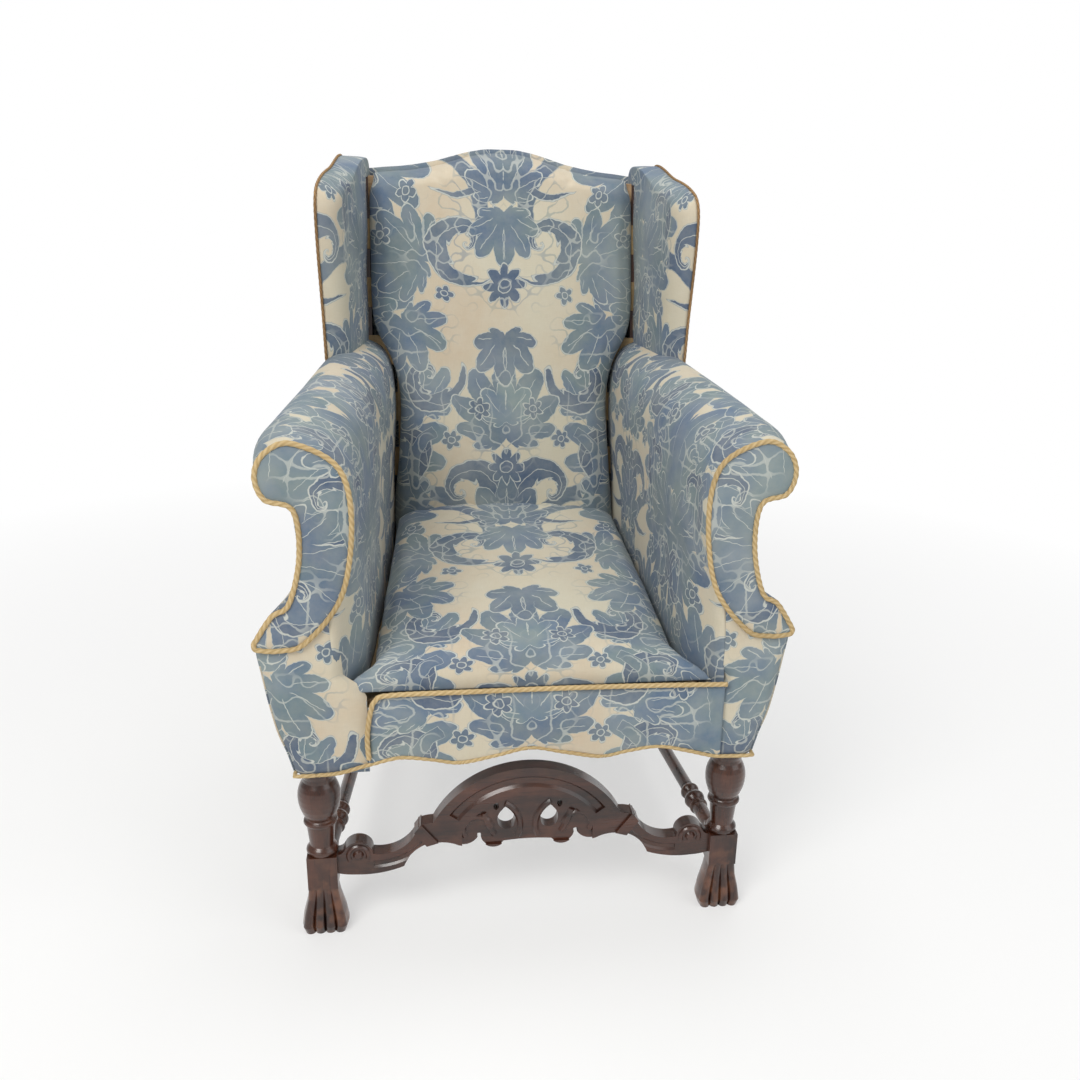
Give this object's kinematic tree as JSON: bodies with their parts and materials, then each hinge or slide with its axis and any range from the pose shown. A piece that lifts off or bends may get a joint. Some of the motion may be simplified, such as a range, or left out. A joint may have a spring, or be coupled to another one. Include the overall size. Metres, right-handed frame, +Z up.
{
  "type": "wingback armchair",
  "caption": "Upholstered wingback armchair with scrolled arms, damask cover, turned front legs on paw feet and a carved arched front stretcher.",
  "frame": {"origin": "on the floor, in the middle of the footprint of the whole chair", "axes": "+Z up, +Y from the front of the seat to the back, +X to the right as seen from the front"},
  "size_m": [0.7434, 0.7226, 1.1129],
  "materials": {
    "walnut_polished": "polished, worn at the edges",
    "frame_timber": "unpolished beech",
    "damask_cotton": "faded woven damask",
    "cord_cotton": "twisted cord",
    "hair_stuffing": "hair and cotton felt",
    "jute_webbing": "woven jute",
    "hessian": "plain woven hessian",
    "spring_steel": "drawn wire",
    "screw_steel": "turned",
    "black_cotton": "thin dust cloth"
  },
  "bodies": {
    "root": {"front_stretcher": "walnut_polished", "rear_stretcher": "walnut_polished", "side_stretcher_right": "walnut_polished", "side_stretcher_left": "walnut_polished", "front_leg_right": "walnut_polished", "front_leg_left": "walnut_polished", "rear_leg_right": "walnut_polished", "rear_leg_left": "walnut_polished", "front_seat_rail": "frame_timber", "rear_seat_rail": "frame_timber", "webbing_batten": "frame_timber", "corner_blocks": "frame_timber", "arm_tack_rails": "frame_timber", "top_back_rail": "frame_timber", "lower_back_rail": "frame_timber", "side_seat_rail_right": "frame_timber", "side_seat_rail_left": "frame_timber", "arm_front_post_right": "frame_timber", "arm_front_post_left": "frame_timber", "arm_rail_right": "frame_timber", "arm_rail_left": "frame_timber", "wing_post_right": "frame_timber", "wing_post_left": "frame_timber", "wing_rail_right": "frame_timber", "wing_rail_left": "frame_timber", "inside_back_cover": "damask_cotton", "outside_back_cover": "damask_cotton", "seat_cover": "damask_cotton", "front_border_cover": "damask_cotton", "inside_arm_cover_right": "damask_cotton", "inside_arm_cover_left": "damask_cotton", "outside_arm_cover_right": "damask_cotton", "outside_arm_cover_left": "damask_cotton", "arm_facing_right": "damask_cotton", "arm_facing_left": "damask_cotton", "inside_wing_cover_right": "damask_cotton", "inside_wing_cover_left": "damask_cotton", "outside_wing_cover_right": "damask_cotton", "outside_wing_cover_left": "damask_cotton", "seat_piping": "cord_cotton", "hem_cord": "cord_cotton", "facing_piping_right": "cord_cotton", "facing_piping_left": "cord_cotton", "wing_piping_right": "cord_cotton", "wing_piping_left": "cord_cotton", "back_stuffing": "hair_stuffing", "seat_stuffing": "hair_stuffing", "front_border_stuffing": "hair_stuffing", "arm_stuffing_right": "hair_stuffing", "arm_stuffing_left": "hair_stuffing", "wing_stuffing_right": "hair_stuffing", "wing_stuffing_left": "hair_stuffing", "back_webbing": "jute_webbing", "seat_webbing": "jute_webbing", "arm_hessians": "hessian", "back_hessian": "hessian", "spring_canvas": "hessian", "seat_springs": "spring_steel", "corner_block_screws": "screw_steel", "bottom_cloth": "black_cotton"}
  },
  "joints": []
}
